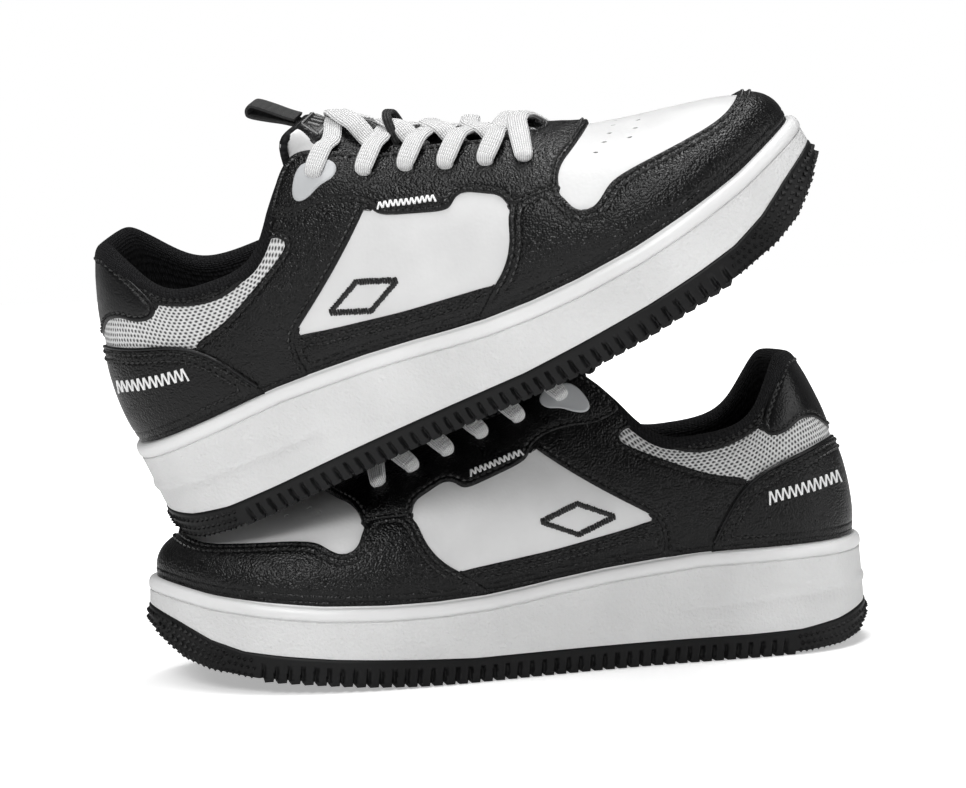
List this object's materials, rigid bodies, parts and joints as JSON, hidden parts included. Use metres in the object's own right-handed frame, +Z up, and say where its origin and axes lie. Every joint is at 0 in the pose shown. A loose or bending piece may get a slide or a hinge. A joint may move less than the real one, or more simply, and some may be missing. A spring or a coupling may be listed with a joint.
{
  "type": "pair of low-top court shoes",
  "caption": "Pair of laced low-top court shoes in black and white leather on cup soles, one standing and one resting tilted across its toe and instep.",
  "frame": {"origin": "bottom centre of the pair's box, on the ground the standing left shoe stands on", "axes": "+Z up, +X along the left shoe from its toe to its heel, -Y towards the left shoe's outer side"},
  "size_m": [0.3152, 0.1784, 0.2334],
  "materials": {
    "outsole_rubber": "moulded black rubber, ribbed and studded edge",
    "midsole_rubber": "moulded white rubber cup, finely pebbled wall, smooth lip",
    "white_leather": "smooth coated white leather",
    "black_leather": "tumbled coated black leather, semi-gloss",
    "smooth_black_leather": "smooth glossy black leather",
    "white_mesh": "white spacer mesh with small round holes",
    "black_knit": "black knitted lining over foam",
    "white_padding": "white padded tongue cover with black binding",
    "label": "black label with a plain stitched frame",
    "black_webbing": "ribbed black webbing",
    "grey_plastic": "light grey moulded reinforcement",
    "lace_weave": "white flat woven lace",
    "board": "fibre insole board",
    "stiffener": "thermoformed stiffener sheet",
    "sockliner_cloth": "black cloth-covered foam footbed"
  },
  "bodies": {
    "left_shoe": {"left_collar_lining": "black_knit", "left_collar_mesh": "white_mesh", "left_eyelet_patch_lateral": "grey_plastic", "left_eyelet_patch_medial": "grey_plastic", "left_eyestay": "black_leather", "left_foxing_lateral": "black_leather", "left_foxing_medial": "black_leather", "left_heel_counter": "stiffener", "left_heel_overlay": "black_leather", "left_heel_tab": "smooth_black_leather", "left_insole_board": "board", "left_lace": "lace_weave", "left_midsole": "midsole_rubber", "left_outsole": "outsole_rubber", "left_quarter_lateral": "white_leather", "left_quarter_medial": "white_leather", "left_saddle_lateral": "black_leather", "left_saddle_medial": "black_leather", "left_sockliner": "sockliner_cloth", "left_toe_overlay": "black_leather", "left_toe_puff": "stiffener", "left_vamp": "white_leather"},
    "left_tongue": {"left_lace_keeper": "black_webbing", "left_tongue": "white_padding", "left_tongue_label": "label", "left_tongue_panel": "black_leather"},
    "left_pull_loop": {"left_pull_loop": "black_webbing"},
    "right_shoe": {"right_collar_lining": "black_knit", "right_collar_mesh": "white_mesh", "right_eyelet_patch_lateral": "grey_plastic", "right_eyelet_patch_medial": "grey_plastic", "right_eyestay": "black_leather", "right_foxing_lateral": "black_leather", "right_foxing_medial": "black_leather", "right_heel_counter": "stiffener", "right_heel_overlay": "black_leather", "right_heel_tab": "smooth_black_leather", "right_insole_board": "board", "right_lace": "lace_weave", "right_midsole": "midsole_rubber", "right_outsole": "outsole_rubber", "right_quarter_lateral": "white_leather", "right_quarter_medial": "white_leather", "right_saddle_lateral": "black_leather", "right_saddle_medial": "black_leather", "right_sockliner": "sockliner_cloth", "right_toe_overlay": "black_leather", "right_toe_puff": "stiffener", "right_vamp": "white_leather"},
    "right_tongue": {"right_lace_keeper": "black_webbing", "right_tongue": "white_padding", "right_tongue_label": "label", "right_tongue_panel": "black_leather"},
    "right_pull_loop": {"right_pull_loop": "black_webbing"}
  },
  "joints": [
    {"name": "right_shoe_lift", "type": "slide", "parent": "left_shoe", "child": "right_shoe", "axis": [0, 0, 1], "range_m": [0, 0.25]},
    {"name": "left_tongue_tilt", "type": "hinge", "parent": "left_shoe", "child": "left_tongue", "pos_m": [-0.05937, 0.03633, 0.077], "axis": [0, 1, 0], "range_deg": [0, 1.2], "stiffness_Nm_per_rad": 6},
    {"name": "left_pull_loop_flap", "type": "hinge", "parent": "left_tongue", "child": "left_pull_loop", "pos_m": [0.03003, 0.03633, 0.1303], "axis": [0, -1, 0], "range_deg": [0, 12], "stiffness_Nm_per_rad": 0.05},
    {"name": "right_tongue_tilt", "type": "hinge", "parent": "right_shoe", "child": "right_tongue", "pos_m": [0.02057, -0.03448, 0.21414], "axis": [-0.309, -0.9249, -0.2215], "range_deg": [0, 1.2], "stiffness_Nm_per_rad": 6},
    {"name": "right_pull_loop_flap", "type": "hinge", "parent": "right_tongue", "child": "right_pull_loop", "pos_m": [-0.07834, -0.00416, 0.22556], "axis": [0.309, 0.9249, 0.2215], "range_deg": [-40, 40], "stiffness_Nm_per_rad": 0.05}
  ]
}
